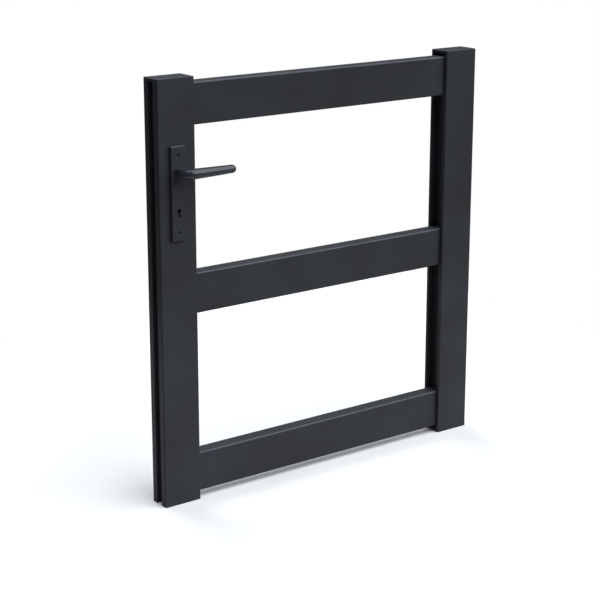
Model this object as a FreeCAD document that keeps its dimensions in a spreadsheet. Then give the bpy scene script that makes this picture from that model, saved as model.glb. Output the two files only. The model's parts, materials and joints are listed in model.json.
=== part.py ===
import FreeCAD, Part
import os
import Sketcher
from FreeCAD import Placement, Rotation, Vector

# Garden gate: an aluminium leaf of two grooved stiles and three box rails, with a mortice lock,
# a lever handle in front, an oval knob behind and two butt hinges. Millimetres, +Z up. X runs along
# the gate from the lock side to the hinge side, and Y from the front to the back. The origin is
# under the middle of the whole gate, hinges included, at the height of the stiles' feet.

SIZES = {
    # leaf frame
    "leaf_width": 970,
    "leaf_height": 1040,
    "stile_width": 100,
    "stile_depth": 60,
    "stile_radius": 3,
    "wall": 2.5,
    "cap_thickness": 8,
    "cap_edge_radius": 1.2,
    "plug_depth": 12,
    "plug_gap": 0.3,
    "channel_width": 40.4,
    "channel_depth": 18,
    "groove_width": 22,
    "groove_depth": 11,
    "rail_height": 100,
    "rail_depth": 40,
    "rail_radius": 4,
    "bottom_rail_base": 17,
    "rail_pitch": 454,
    # rail connectors
    "connector_length": 45,
    "connector_gap": 0.1,
    "connector_wall": 4,
    "connector_plate": 5,
    "connector_screw_offset": 28,
    "locking_screw_inset": 11,
    "locking_screw_tail": 3,
    # fasteners
    "bolt_radius": 4,
    "bolt_head_radius": 6.5,
    "bolt_head_height": 5,
    "bolt_clearance_radius": 4.3,
    "rivet_nut_radius": 5.5,
    "rivet_nut_length": 16,
    "thread_gap": 0.02,
    "seat_gap": 0.05,
    "small_screw_radius": 3,
    "small_head_radius": 5,
    "small_head_height": 2.5,
    "cross_length": 6,
    "cross_width": 1.2,
    "cross_depth": 1.6,
    "slot_width": 1,
    "slot_depth": 0.8,
    # hinges
    "hinge_gap": 30,
    "hinge_inset": 150,
    "hinge_height": 110,
    "hinge_plate_thickness": 6,
    "axis_setback": 12,
    "knuckle_radius": 11,
    "middle_knuckle": 48,
    "bush_flange": 0.8,
    "bush_flange_gap": 0.2,
    "bush_length": 20,
    "bush_radius": 7.5,
    "pin_radius": 6,
    "pin_gap": 0.05,
    "pin_head_radius": 9,
    "pin_head_height": 3,
    "pin_tail": 5,
    "ring_thickness": 1.5,
    "leaf_plate_front": 16,
    "post_plate_front": 8,
    "post_hole_radius": 4.5,
    "countersink_radius": 8.3,
    "countersink_depth": 4.3,
    "hinge_hole_pitch": 38,
    "tongue_overlap": 4,
    # lock
    "latch_setback": 1,
    "backset": 40,
    "face_plate_thickness": 3,
    "face_plate_width": 21,
    "face_plate_height": 235,
    "face_plate_centre": 773,
    "face_screw_pitch": 216,
    "face_screw_radius": 2.5,
    "face_screw_length": 15,
    "face_head_radius": 4.6,
    "case_depth": 66,
    "case_thickness": 16,
    "case_base": 690,
    "case_height": 166,
    "case_wall": 1.5,
    "aperture_gap": 0.3,
    "cover_post_inset": 6,
    "cover_post_rise": 2,
    "cover_thread_radius": 1.5,
    "cover_screw_length": 6.5,
    "cover_head_height": 1,
    "handle_height": 824,
    "key_height": 732,
    "follower_radius": 9,
    "follower_gap": 0.06,
    "follower_arm_width": 5,
    "follower_arm_reach": 13,
    "spring_arm_reach": 15,
    "follower_arm_thickness": 8,
    "latch_rise": 20,
    "latch_height": 16,
    "latch_thickness": 12,
    "latch_length": 22,
    "latch_gap": 0.3,
    "latch_tip_flat": 2,
    "tail_height": 8,
    "tail_thickness": 8,
    "tail_overlap": 1,
    "hook_gap": 0.3,
    "hook_width": 6,
    "hook_drop": 10,
    "dead_bolt_base": 744,
    "dead_bolt_height": 28,
    "dead_bolt_length": 56,
    "dead_bolt_recess": 0.5,
    "dead_bolt_throw": 14,
    "key_notch_width": 9,
    "key_notch_depth": 6,
    "key_notch_before": 2,
    "key_notch_after": 3,
    "guide_post_offset": 2,
    "post_radius": 2.5,
    "post_gap": 0.05,
    "detent_height": 7,
    "detent_thickness": 3,
    "detent_length": 44,
    "detent_clearance": 0.3,
    "detent_foot_length": 6,
    "detent_foot_height": 2,
    "detent_spring_inset": 7,
    "detent_lug_length": 22,
    "detent_lug_thickness": 3,
    "detent_lug_drop": 24,
    "pivot_inset": 8,
    "pivot_rise": 34,
    "spring_radius": 4,
    "spring_wire": 0.5,
    "spring_pitch": 3.2,
    "spring_gap": 0.4,
    "lever_spring_rise": 1,
    "keyhole_radius": 5,
    "keyhole_slot_width": 4,
    "keyhole_slot_drop": 16,
    "keyhole_margin": 1,
    # handle set
    "plate_width": 39,
    "plate_height": 224,
    "plate_thickness": 9,
    "plate_edge_radius": 2,
    "plate_centre": 772.5,
    "plate_screw_pitch": 183,
    "plate_screw_radius": 2.5,
    "plate_screw_length": 60,
    "plate_head_radius": 3.8,
    "plate_head_height": 3,
    "plate_head_setback": 2.5,
    "sleeve_radius": 4,
    "sleeve_head_radius": 5.5,
    "sleeve_head_height": 3,
    "sleeve_length": 40,
    "sleeve_end": 5,
    "journal_radius": 8,
    "journal_gap": 0.05,
    "collar_radius": 11,
    "collar_flange_radius": 14,
    "collar_flange": 1.5,
    "collar_clearance": 0.5,
    "spindle_size": 8,
    "spindle_gap": 0.02,
    "spindle_reach": 66,
    "spindle_end_gap": 1,
    "neck_radius": 10,
    "grip_radius": 12.5,
    "tip_radius": 10,
    "grip_reach": 130,
    "grip_offset": 50,
    "elbow_radius": 18,
    "knob_half_width": 13,
    "knob_half_depth": 20,
    "knob_half_height": 24,
    "grub_radius": 3,
    "grub_length": 6,
    "grub_setback": 22,
    "knob_grub_inset": 6,
}

document = FreeCAD.newDocument("garden_gate")
sheet = document.addObject("Spreadsheet::Sheet", "sizes")
for row, (alias, value) in enumerate(SIZES.items(), start=1):
    sheet.set(f"A{row}", alias.replace("_", " "))
    sheet.set(f"B{row}", str(value))
    sheet.setAlias(f"B{row}", alias)
scratch = document.addObject("Spreadsheet::Sheet", "scratch")  # one cell, to work out values in
document.recompute()

nodes = []  # every finished sub-part, in the order it is made


def cells(text):
    """Turns size names into references to the sheet's cells."""
    words = []
    for word in text.replace("(", " ( ").replace(")", " ) ").split():
        words.append("sizes." + word if word in SIZES else word)
    return " ".join(words)


def value_of(expression):
    scratch.set("A1", "=" + cells(expression))
    scratch.recompute()
    result = scratch.get("A1")
    return float(getattr(result, "Value", result))


# Places along the gate, in words of the sheet.
LOCK_SIDE = "( 0 - ( leaf_width + hinge_gap ) / 2 )"
HINGE_SIDE = f"( {LOCK_SIDE} + leaf_width )"
POST_FACE = f"( {HINGE_SIDE} + hinge_gap )"
AXIS_X = f"( {HINGE_SIDE} + hinge_gap / 2 )"
AXIS_Y = "( stile_depth / 2 + axis_setback )"
FRONT = "( -1 * stile_depth / 2 )"
BACK = "( stile_depth / 2 )"
GROOVE_FLOOR = f"( {LOCK_SIDE} + groove_depth )"
FACE_FRONT = f"( {GROOVE_FLOOR} - face_plate_thickness )"
SPINDLE_X = f"( {FACE_FRONT} + backset )"
CASE_BACK = f"( {GROOVE_FLOOR} + case_depth )"
RAIL_LENGTH = "( leaf_width - 2 * ( stile_width - channel_depth ) )"
THROUGH_WALL = "( 3 * wall )"
RAIL_NAMES = ("bottom_rail", "middle_rail", "top_rail")
HINGE_HEIGHTS = {"lower": "hinge_inset", "upper": "( leaf_height - hinge_inset )"}
HOLE_STEPS = (-1, 0, 1)
FACE_SCREWS = [f"( face_plate_centre + {sign} * face_screw_pitch / 2 )" for sign in (-1, 1)]
PLATE_SCREWS = [f"( plate_centre + {sign} * plate_screw_pitch / 2 )" for sign in (-1, 1)]


def rail_base(index):
    return f"( bottom_rail_base + {index} * rail_pitch )"


def from_side(side, offset, size):
    """Low X of a span that starts offset inside the leaf's outer face on the given side."""
    if side == "lock":
        return f"( {LOCK_SIDE} + {offset} )"
    return f"( {HINGE_SIDE} - {offset} - {size} )"


def bind(item, **expressions):
    for name, expression in expressions.items():
        item.setExpression(name, cells(expression))


def place(item, x, y, z):
    for letter, expression in zip("xyz", (x, y, z)):
        item.setExpression(f"Placement.Base.{letter}", cells(expression))


def finish(item, label):
    item.Label = label
    nodes.append(item)
    return item


# ---- PartDesign helpers -----------------------------------------------------------------------


def new_body(label):
    body = document.addObject("PartDesign::Body", label)
    return finish(body, label)


def sketch_on(body, role, offset="0"):
    plane = next(item for item in body.Origin.OriginFeatures if item.Role == role)
    sketch = body.newObject("Sketcher::SketchObject", body.Name + "_sketch")
    sketch.AttachmentSupport = [(plane, "")]
    sketch.MapMode = "FlatFace"
    sketch.setExpression("AttachmentOffset.Base.z", cells(offset))
    return sketch


def constrain(sketch, kind, arguments, expression):
    index = sketch.addConstraint(Sketcher.Constraint(kind, *arguments, value_of(expression)))
    sketch.renameConstraint(index, f"size_{index}")
    sketch.setExpression(f"Constraints.size_{index}", cells(expression))


def polygon(sketch, points):
    """Closed outline through points given as pairs of expressions."""
    corners = [Vector(value_of(x), value_of(y), 0) for x, y in points]
    first = sketch.GeometryCount
    count = len(points)
    for index in range(count):
        sketch.addGeometry(Part.LineSegment(corners[index], corners[(index + 1) % count]))
    for index in range(count):
        following = first + (index + 1) % count
        sketch.addConstraint(Sketcher.Constraint("Coincident", first + index, 2, following, 1))
    for index, (x, y) in enumerate(points):
        constrain(sketch, "DistanceX", (-1, 1, first + index, 1), x)
        constrain(sketch, "DistanceY", (-1, 1, first + index, 1), y)


def rectangle(sketch, x, y, width, height):
    high_x = f"( {x} + {width} )"
    high_y = f"( {y} + {height} )"
    polygon(sketch, [(x, y), (high_x, y), (high_x, high_y), (x, high_y)])


def circle(sketch, x, y, radius):
    centre = Vector(value_of(x), value_of(y), 0)
    index = sketch.addGeometry(Part.Circle(centre, Vector(0, 0, 1), value_of(radius)))
    constrain(sketch, "DistanceX", (-1, 1, index, 3), x)
    constrain(sketch, "DistanceY", (-1, 1, index, 3), y)
    constrain(sketch, "Radius", (index,), radius)


def pad(body, sketch, length):
    feature = body.newObject("PartDesign::Pad", body.Name + "_pad")
    feature.Profile = sketch
    bind(feature, Length=length)
    document.recompute()
    return feature


def pocket(body, sketch, length, reverse=False):
    """Cuts from the sketch against its plane's normal, or along it when reversed."""
    before = body.Tip.Shape.Volume
    feature = body.newObject("PartDesign::Pocket", body.Name + "_pocket")
    feature.Profile = sketch
    feature.Reversed = reverse
    bind(feature, Length=length)
    document.recompute()
    if feature.Shape.Volume >= before - 0.01:
        raise RuntimeError(f"{body.Label}: {feature.Name} removes nothing")
    return feature


def round_edges(body, radius, wanted):
    """Rounds the edges of the tip whose curve passes the wanted test."""
    tip = body.Tip
    names = [f"Edge{n}" for n, edge in enumerate(tip.Shape.Edges, start=1) if wanted(edge)]
    feature = body.newObject("PartDesign::Fillet", body.Name + "_fillet")
    feature.Base = (tip, names)
    bind(feature, Radius=radius)
    document.recompute()
    return feature


def runs_along(letter):
    """Test for straight edges that lie along the X, Y or Z direction."""

    def test(edge):
        if not isinstance(edge.Curve, Part.Line):
            return False
        return abs(getattr(edge.Curve.Direction, letter)) > 0.999

    return test


# ---- Part helpers -----------------------------------------------------------------------------

TURNS = {
    "x": Rotation(Vector(0, 1, 0), 90),
    "-x": Rotation(Vector(0, 1, 0), -90),
    "y": Rotation(Vector(1, 0, 0), -90),
    "-y": Rotation(Vector(1, 0, 0), 90),
    "z": Rotation(),
    "-z": Rotation(Vector(1, 0, 0), 180),
}


def box(x, y, z, length, width, height):
    item = document.addObject("Part::Box", "block")
    bind(item, Length=length, Width=width, Height=height)
    place(item, x, y, z)
    return item


def cylinder(x, y, z, direction, radius, length):
    item = document.addObject("Part::Cylinder", "round")
    item.Placement = Placement(Vector(), TURNS[direction])
    bind(item, Radius=radius, Height=length)
    place(item, x, y, z)
    return item


def cone(x, y, z, direction, start_radius, end_radius, length):
    item = document.addObject("Part::Cone", "taper")
    item.Placement = Placement(Vector(), TURNS[direction])
    bind(item, Radius1=start_radius, Radius2=end_radius, Height=length)
    place(item, x, y, z)
    return item


def join(*shapes):
    item = document.addObject("Part::MultiFuse", "joined")
    item.Shapes = list(shapes)
    item.Refine = True
    return item


def cut(base, *tools):
    item = document.addObject("Part::Cut", "trimmed")
    item.Base = base
    item.Tool = tools[0] if len(tools) == 1 else join(*tools)
    item.Refine = True
    return item


def group(*shapes):
    item = document.addObject("Part::Compound", "set")
    item.Links = list(shapes)
    return item


def ring(x, y, z, direction, outer, inner, length):
    return cut(
        cylinder(x, y, z, direction, outer, length),
        cylinder(x, y, z, direction, inner, length),
    )


def mirrored_to_back(source):
    item = document.addObject("Part::Mirroring", "mirrored")
    item.Source = source
    item.Normal = Vector(0, 1, 0)
    return item


# ---- Leaf frame -------------------------------------------------------------------------------


def make_stile(label, side):
    """Extruded stile: rail channel on the inner side, narrow groove down the outer side."""
    body = new_body(label)
    outline = sketch_on(body, "XY_Plane")
    rectangle(outline, from_side(side, "0", "stile_width"), FRONT, "stile_width", "stile_depth")
    pad(body, outline, "( leaf_height - cap_thickness )")
    round_edges(body, "stile_radius", runs_along("z"))
    recesses = sketch_on(body, "XY_Plane")
    for offset, depth, gap_width in (
        ("( 0 - wall )", "( groove_depth + wall )", "groove_width"),
        ("( stile_width - channel_depth )", "( channel_depth + wall )", "channel_width"),
    ):
        low_y = f"( 0 - {gap_width} / 2 )"
        rectangle(recesses, from_side(side, offset, depth), low_y, depth, gap_width)
    pocket(body, recesses, "leaf_height", reverse=True)
    hollow = sketch_on(body, "XY_Plane")
    chamber_length = "( stile_width - groove_depth - channel_depth - 2 * wall )"
    chamber_x = from_side(side, "( groove_depth + wall )", chamber_length)
    chamber_y = "( wall - stile_depth / 2 )"
    rectangle(hollow, chamber_x, chamber_y, chamber_length, "( stile_depth - 2 * wall )")
    pocket(body, hollow, "leaf_height", reverse=True)
    side_cells = sketch_on(body, "XY_Plane")
    for offset, length, gap_width in (
        ("wall", "( groove_depth + wall )", "groove_width"),
        ("( stile_width - channel_depth - 2 * wall )", "( channel_depth + wall )", "channel_width"),
    ):
        cell_width = f"( stile_depth / 2 - {gap_width} / 2 - 2 * wall )"
        cell_x = from_side(side, offset, length)
        rectangle(side_cells, cell_x, chamber_y, length, cell_width)
        rectangle(side_cells, cell_x, f"( {gap_width} / 2 + wall )", length, cell_width)
    pocket(body, side_cells, "leaf_height", reverse=True)
    behind_channel = from_side(side, "( stile_width - channel_depth - 2 * wall )", "0")
    nut_holes = sketch_on(body, "YZ_Plane", behind_channel)
    for index in range(len(RAIL_NAMES)):
        for sign in (-1, 1):
            height = f"( {rail_base(index)} + rail_height / 2 + {sign} * connector_screw_offset )"
            circle(nut_holes, "0", height, "( rivet_nut_radius + seat_gap )")
    pocket(body, nut_holes, THROUGH_WALL, reverse=side == "lock")
    return body


def cut_lock_openings(body):
    """Openings in the lock stile for the case, spindle, key and handle screws."""
    aperture = sketch_on(body, "YZ_Plane", f"( {GROOVE_FLOOR} - wall )")
    rectangle(
        aperture,
        "( 0 - case_thickness / 2 - aperture_gap )",
        "( case_base - aperture_gap )",
        "( case_thickness + 2 * aperture_gap )",
        "( case_height + 2 * aperture_gap )",
    )
    for z in FACE_SCREWS:
        circle(aperture, "0", z, "( face_screw_radius + seat_gap )")
    pocket(body, aperture, THROUGH_WALL, reverse=True)
    crossings = sketch_on(body, "XZ_Plane", f"( {BACK} + wall )")
    circle(crossings, SPINDLE_X, "handle_height", "collar_radius")
    rectangle(
        crossings,
        f"( {SPINDLE_X} - keyhole_radius - keyhole_margin )",
        "( key_height - keyhole_slot_drop - keyhole_margin )",
        "( 2 * keyhole_radius + 2 * keyhole_margin )",
        "( keyhole_slot_drop + keyhole_radius + 2 * keyhole_margin )",
    )
    for z in PLATE_SCREWS:
        circle(crossings, SPINDLE_X, z, "( sleeve_radius + seat_gap )")
    pocket(body, crossings, "( stile_depth + 2 * wall )")


def cut_hinge_openings(body):
    """Rivet nut holes in the floor of the hinge stile's groove."""
    holes = sketch_on(body, "YZ_Plane", f"( {HINGE_SIDE} - groove_depth + wall )")
    for middle in HINGE_HEIGHTS.values():
        for step in HOLE_STEPS:
            height = f"( {middle} + {step} * hinge_hole_pitch )"
            circle(holes, "0", height, "( rivet_nut_radius + seat_gap )")
    pocket(body, holes, THROUGH_WALL)


def make_cap(label, side):
    """Flat cap, flush with the stile, with a plug that grips inside the chamber."""
    body = new_body(label)
    plate = sketch_on(body, "XY_Plane", "( leaf_height - cap_thickness )")
    rectangle(plate, from_side(side, "0", "stile_width"), FRONT, "stile_width", "stile_depth")
    pad(body, plate, "cap_thickness")
    round_edges(body, "stile_radius", runs_along("z"))
    top = value_of("leaf_height")
    round_edges(body, "cap_edge_radius", lambda edge: edge.BoundBox.ZMin > top - 0.01)
    plug = sketch_on(body, "XY_Plane", "( leaf_height - cap_thickness - plug_depth )")
    plug_length = "( stile_width - groove_depth - channel_depth - 2 * wall - 2 * plug_gap )"
    rectangle(
        plug,
        from_side(side, "( groove_depth + wall + plug_gap )", plug_length),
        "( wall + plug_gap - stile_depth / 2 )",
        plug_length,
        "( stile_depth - 2 * wall - 2 * plug_gap )",
    )
    pad(body, plug, "plug_depth")
    core = sketch_on(body, "XY_Plane", "( leaf_height - cap_thickness - plug_depth )")
    core_length = f"( {plug_length} - 2 * wall )"
    rectangle(
        core,
        from_side(side, "( groove_depth + 2 * wall + plug_gap )", core_length),
        "( 2 * wall + plug_gap - stile_depth / 2 )",
        core_length,
        "( stile_depth - 4 * wall - 2 * plug_gap )",
    )
    pocket(body, core, "plug_depth", reverse=True)


def make_rail(label, index):
    """Box rail with rounded corners, its ends inside the stiles' channels."""
    body = new_body(label)
    start = from_side("lock", "( stile_width - channel_depth )", "0")
    section = sketch_on(body, "YZ_Plane", start)
    rectangle(section, "( 0 - rail_depth / 2 )", rail_base(index), "rail_depth", "rail_height")
    pad(body, section, RAIL_LENGTH)
    round_edges(body, "rail_radius", runs_along("x"))
    hollow = sketch_on(body, "YZ_Plane", start)
    rectangle(
        hollow,
        "( wall - rail_depth / 2 )",
        f"( {rail_base(index)} + wall )",
        "( rail_depth - 2 * wall )",
        "( rail_height - 2 * wall )",
    )
    pocket(body, hollow, RAIL_LENGTH, reverse=True)
    holes = sketch_on(body, "XY_Plane", f"( {rail_base(index)} - wall )")
    for side in ("lock", "hinge"):
        circle(holes, locking_screw_x(side), "0", "( small_screw_radius + seat_gap )")
    pocket(body, holes, THROUGH_WALL, reverse=True)


def locking_screw_x(side):
    return from_side(side, "( stile_width - channel_depth + locking_screw_inset )", "0")


def make_rail_joints(side):
    """Cup-shaped connectors, their bolts and rivet nuts, for the three rails on one side."""
    channel_floor = "( stile_width - channel_depth )"
    inward = "x" if side == "lock" else "-x"
    outward = "-x" if side == "lock" else "x"
    half_width = "( rail_depth / 2 - wall - connector_gap )"
    seat_x = from_side(side, f"( {channel_floor} + connector_plate )", "0")
    end_x = from_side(side, channel_floor, "0")
    bolt_length = "( connector_plate + rivet_nut_length )"
    nut_bore = "( bolt_radius + thread_gap )"
    connectors = []
    bolts = []
    nuts = []
    for index in range(len(RAIL_NAMES)):
        base = f"( {rail_base(index)} + wall + connector_gap )"
        middle = f"( {rail_base(index)} + rail_height / 2 )"
        height = "( rail_height - 2 * wall - 2 * connector_gap )"
        block = box(
            from_side(side, channel_floor, "connector_length"),
            f"( 0 - {half_width} )",
            base,
            "connector_length",
            f"( 2 * {half_width} )",
            height,
        )
        hollow = box(
            from_side(side, f"( {channel_floor} + connector_plate )", "connector_length"),
            f"( connector_wall - {half_width} )",
            f"( {base} + connector_wall )",
            "connector_length",
            f"( 2 * {half_width} - 2 * connector_wall )",
            f"( {height} - 2 * connector_wall )",
        )
        screw_x = locking_screw_x(side)
        screw_radius = "( small_screw_radius + thread_gap )"
        holes = [cylinder(screw_x, "0", base, "z", screw_radius, "connector_wall")]
        for sign in (-1, 1):
            z = f"( {middle} + {sign} * connector_screw_offset )"
            holes.append(cylinder(seat_x, "0", z, outward, "bolt_clearance_radius", "connector_plate"))
            head = cylinder(seat_x, "0", z, inward, "bolt_head_radius", "bolt_head_height")
            shank = cylinder(seat_x, "0", z, outward, "bolt_radius", bolt_length)
            bolts.append(join(head, shank))
            nuts.append(ring(end_x, "0", z, outward, "rivet_nut_radius", nut_bore, "rivet_nut_length"))
        connectors.append(cut(block, hollow, *holes))
    finish(group(*connectors), f"{side}_side_connectors")
    finish(group(*bolts), f"{side}_side_connector_bolts")
    finish(group(*nuts), f"{side}_side_rivet_nuts")


def make_locking_screws():
    """Pan-head screws under the rails, hidden in the channels."""
    shank_length = "( wall + connector_wall + locking_screw_tail )"
    screws = []
    for index in range(len(RAIL_NAMES)):
        for side in ("lock", "hinge"):
            x = locking_screw_x(side)
            base = rail_base(index)
            head = cylinder(x, "0", base, "-z", "small_head_radius", "small_head_height")
            shank = cylinder(x, "0", base, "z", "small_screw_radius", shank_length)
            screws.append(join(head, shank))
    finish(group(*screws), "rail_locking_screws")


# ---- Hinges -----------------------------------------------------------------------------------


def countersunk_holes(face_x, direction, y, heights, radius):
    """Screw holes with a conical seat, opening from face_x in the given direction."""
    holes = []
    for z in heights:
        holes.append(cylinder(face_x, y, z, direction, radius, "hinge_plate_thickness"))
        holes.append(cone(face_x, y, z, direction, "countersink_radius", radius, "countersink_depth"))
    return holes


def make_hinge(name, centre):
    """Three-knuckle butt hinge behind the stile's back corner, with its packing and fixings."""
    base = f"( {centre} - hinge_height / 2 )"
    end_knuckle = "( ( hinge_height - middle_knuckle ) / 2 - bush_flange - bush_flange_gap )"
    top_knuckle_base = f"( {centre} + hinge_height / 2 - {end_knuckle} )"
    middle_base = f"( {centre} - middle_knuckle / 2 )"
    heights = [f"( {centre} + {step} * hinge_hole_pitch )" for step in HOLE_STEPS]
    thickness = "hinge_plate_thickness"
    tongue = "( axis_setback + tongue_overlap )"

    post_x = f"( {POST_FACE} - hinge_plate_thickness )"
    post_width = f"( {BACK} - post_plate_front )"
    post_parts = [box(post_x, "post_plate_front", base, thickness, post_width, "hinge_height")]
    for knuckle_base in (base, top_knuckle_base):
        post_parts.append(box(post_x, BACK, knuckle_base, thickness, tongue, end_knuckle))
        post_parts.append(cylinder(AXIS_X, AXIS_Y, knuckle_base, "z", "knuckle_radius", end_knuckle))
    pin_bore = cylinder(AXIS_X, AXIS_Y, base, "z", "( pin_radius + thread_gap )", "hinge_height")
    hole_y = f"( ( post_plate_front + {BACK} ) / 2 )"
    post_holes = countersunk_holes(post_x, "x", hole_y, heights, "post_hole_radius")
    finish(cut(join(*post_parts), pin_bore, *post_holes), f"{name}_post_hinge_plate")

    leaf_width = f"( {BACK} + leaf_plate_front )"
    leaf_parts = [
        box(HINGE_SIDE, "( 0 - leaf_plate_front )", base, thickness, leaf_width, "hinge_height"),
        box(HINGE_SIDE, BACK, middle_base, thickness, tongue, "middle_knuckle"),
        cylinder(AXIS_X, AXIS_Y, middle_base, "z", "knuckle_radius", "middle_knuckle"),
    ]
    bush_seat = "( bush_radius + thread_gap )"
    bush_bore = cylinder(AXIS_X, AXIS_Y, middle_base, "z", bush_seat, "middle_knuckle")
    plate_face = f"( {HINGE_SIDE} + hinge_plate_thickness )"
    leaf_holes = countersunk_holes(plate_face, "-x", "0", heights, "bolt_clearance_radius")
    finish(cut(join(*leaf_parts), bush_bore, *leaf_holes), f"{name}_leaf_hinge_plate")

    groove_floor = f"( {HINGE_SIDE} - groove_depth )"
    packing_y = "( seat_gap - groove_width / 2 )"
    packing_width = "( groove_width - 2 * seat_gap )"
    packing = box(groove_floor, packing_y, base, "groove_depth", packing_width, "hinge_height")
    packing_holes = [
        cylinder(groove_floor, "0", z, "x", "bolt_clearance_radius", "groove_depth") for z in heights
    ]
    finish(cut(packing, *packing_holes), f"{name}_hinge_packing")

    screw_length = "( hinge_plate_thickness + groove_depth + rivet_nut_length )"
    head_radius = "( countersink_radius - seat_gap )"
    nut_bore = "( bolt_radius + thread_gap )"
    screws = []
    nuts = []
    for z in heights:
        head = cone(plate_face, "0", z, "-x", head_radius, "bolt_radius", "countersink_depth")
        shank = cylinder(plate_face, "0", z, "-x", "bolt_radius", screw_length)
        screws.append(join(head, shank))
        nuts.append(ring(groove_floor, "0", z, "-x", "rivet_nut_radius", nut_bore, "rivet_nut_length"))
    finish(group(*screws), f"{name}_hinge_screws")
    finish(group(*nuts), f"{name}_hinge_rivet_nuts")

    bushes = []
    for sign, direction in ((-1, "z"), (1, "-z")):
        flange_face = f"( {centre} + {sign} * ( middle_knuckle / 2 + bush_flange ) )"
        sleeve = cylinder(AXIS_X, AXIS_Y, flange_face, direction, "bush_radius", "bush_length")
        flange = cylinder(AXIS_X, AXIS_Y, flange_face, direction, "knuckle_radius", "bush_flange")
        bore = cylinder(AXIS_X, AXIS_Y, flange_face, direction, "( pin_radius + pin_gap )", "bush_length")
        bushes.append(cut(join(sleeve, flange), bore))
    finish(group(*bushes), f"{name}_hinge_bushes")

    pin_length = "( hinge_height + pin_tail )"
    pin_top = f"( {centre} + hinge_height / 2 )"
    shank = cylinder(AXIS_X, AXIS_Y, pin_top, "-z", "pin_radius", pin_length)
    head = cylinder(AXIS_X, AXIS_Y, pin_top, "z", "pin_head_radius", "pin_head_height")
    finish(join(shank, head), f"{name}_hinge_pin")
    ring_bore = "( pin_radius + thread_gap )"
    pin_ring = ring(AXIS_X, AXIS_Y, base, "-z", "pin_head_radius", ring_bore, "ring_thickness")
    finish(pin_ring, f"{name}_hinge_pin_ring")


# ---- Mortice lock -----------------------------------------------------------------------------

CASE_MIDDLE = "( 0 - case_thickness / 2 )"
INSIDE_Y = "( case_wall - case_thickness / 2 )"
INSIDE_WIDTH = "( case_thickness - 2 * case_wall )"
LATCH_MIDDLE = "( handle_height + latch_rise )"
LATCH_TIP = f"( {LOCK_SIDE} + latch_setback )"
HOOK_X = f"( {SPINDLE_X} + follower_arm_width / 2 + hook_gap )"
PIVOT_X = f"( {CASE_BACK} - case_wall - pivot_inset )"
PIVOT_Z = "( dead_bolt_base + pivot_rise )"
GUIDE_X = f"( {SPINDLE_X} - guide_post_offset )"
GUIDE_Z = "( dead_bolt_base + dead_bolt_height / 2 )"
LUG_Z = "( handle_height - detent_lug_drop )"
HUB_SEAT_RADIUS = "( follower_radius + follower_gap )"


def keyhole_tools(start_y, length):
    """Round head and slot of the keyhole, as one solid for each."""
    return [
        cylinder(SPINDLE_X, start_y, "key_height", "y", "keyhole_radius", length),
        box(
            f"( {SPINDLE_X} - keyhole_slot_width / 2 )",
            start_y,
            "( key_height - keyhole_slot_drop )",
            "keyhole_slot_width",
            length,
            "keyhole_slot_drop",
        ),
    ]


def bolt_windows(x, length):
    """Openings for the latch bolt and dead bolt heads."""
    windows = []
    for base, height in (
        (f"( {LATCH_MIDDLE} - latch_height / 2 )", "latch_height"),
        ("dead_bolt_base", "dead_bolt_height"),
    ):
        windows.append(
            box(
                x,
                "( 0 - latch_thickness / 2 - latch_gap )",
                f"( {base} - latch_gap )",
                length,
                "( latch_thickness + 2 * latch_gap )",
                f"( {height} + 2 * latch_gap )",
            )
        )
    return windows


def make_lock_case():
    """Open case with its lug, and the cover that closes it."""
    tray_width = "( case_thickness - case_wall )"
    shell = box(GROOVE_FLOOR, CASE_MIDDLE, "case_base", "case_depth", tray_width, "case_height")
    inside = box(
        f"( {GROOVE_FLOOR} + case_wall )",
        INSIDE_Y,
        "( case_base + case_wall )",
        "( case_depth - 2 * case_wall )",
        "case_thickness",
        "( case_height - 2 * case_wall )",
    )
    hub = cylinder(SPINDLE_X, CASE_MIDDLE, "handle_height", "y", HUB_SEAT_RADIUS, "case_wall")
    tools = bolt_windows(GROOVE_FLOOR, "case_wall") + keyhole_tools(CASE_MIDDLE, "case_wall")
    lug = box(
        f"( {GROOVE_FLOOR} + case_wall )",
        INSIDE_Y,
        LUG_Z,
        "detent_lug_length",
        INSIDE_WIDTH,
        "detent_lug_thickness",
    )
    finish(join(cut(shell, inside, hub, *tools), lug), "lock_case")

    cover_y = "( case_thickness / 2 - case_wall )"
    cover = box(GROOVE_FLOOR, cover_y, "case_base", "case_depth", "case_wall", "case_height")
    cover_hub = cylinder(SPINDLE_X, cover_y, "handle_height", "y", HUB_SEAT_RADIUS, "case_wall")
    hole_radius = "( cover_thread_radius + seat_gap )"
    screw_holes = [cylinder(x, cover_y, z, "y", hole_radius, "case_wall") for x, z in cover_posts()]
    finish(cut(cover, cover_hub, *screw_holes, *keyhole_tools(cover_y, "case_wall")), "lock_cover")


def cover_posts():
    """Places of the posts that the cover is screwed to, clear of every moving piece."""
    back_x = f"( {CASE_BACK} - case_wall - cover_post_inset )"
    front_x = f"( {GROOVE_FLOOR} + case_wall + cover_post_inset )"
    low_z = "( case_base + case_wall + cover_post_inset )"
    return [(back_x, low_z), (front_x, low_z), (back_x, "( handle_height + cover_post_rise )")]


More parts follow.
